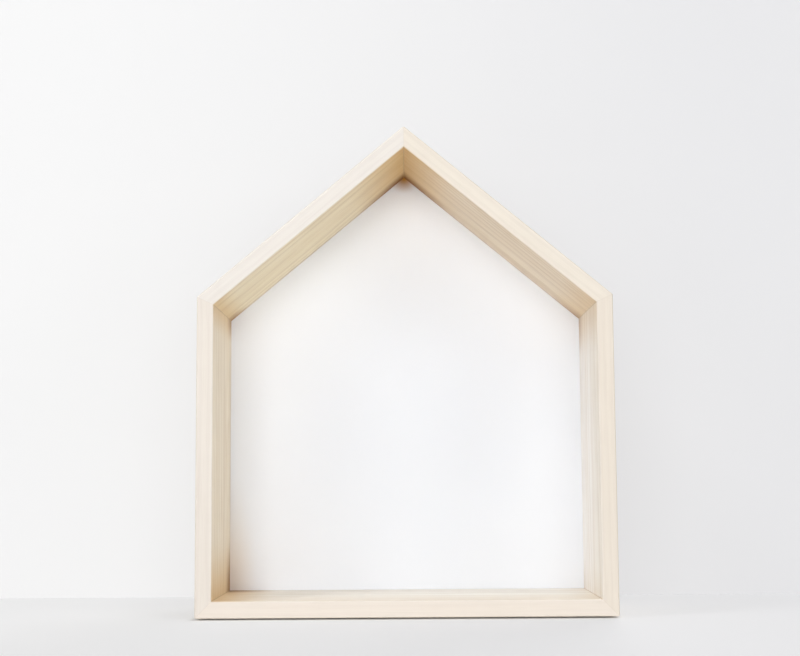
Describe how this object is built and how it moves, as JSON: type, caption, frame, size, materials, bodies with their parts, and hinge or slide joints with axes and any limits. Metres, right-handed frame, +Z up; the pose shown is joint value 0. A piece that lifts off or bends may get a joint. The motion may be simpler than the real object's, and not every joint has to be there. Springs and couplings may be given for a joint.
{
  "type": "house-shaped wall shelf",
  "caption": "Open-fronted shelf in the outline of a gabled house: mitred light wood boards round a white back panel, to stand on its floor board or hang on keyhole plates.",
  "frame": {"origin": "centre of the underside of the floor board, halfway between the front and back edges", "axes": "+X to the right seen from the open front, +Y from the open front to the back that goes against a wall, +Z up to the ridge"},
  "size_m": [0.3, 0.115, 0.3535],
  "materials": {
    "board_wood": "sanded light wood with a matte clear finish",
    "rail_wood": "planed pine, unfinished",
    "white_panel": "matte white paint on thin fibreboard",
    "zinc_steel": "zinc plated",
    "wood_filler": "dried wood filler, sanded flush"
  },
  "bodies": {
    "root": {"floor_board": "board_wood", "left_wall_board": "board_wood", "right_wall_board": "board_wood", "left_roof_board": "board_wood", "right_roof_board": "board_wood", "back_panel": "white_panel", "hanging_rail": "rail_wood", "left_keyhole_plate": "zinc_steel", "right_keyhole_plate": "zinc_steel", "left_plate_screws": "zinc_steel", "right_plate_screws": "zinc_steel", "ridge_brads": "zinc_steel", "left_eave_brads": "zinc_steel", "right_eave_brads": "zinc_steel", "left_base_brads": "zinc_steel", "right_base_brads": "zinc_steel", "left_rail_brads": "zinc_steel", "right_rail_brads": "zinc_steel", "left_wall_filler": "wood_filler", "right_wall_filler": "wood_filler", "left_roof_filler": "wood_filler", "right_roof_filler": "wood_filler"}
  },
  "joints": []
}
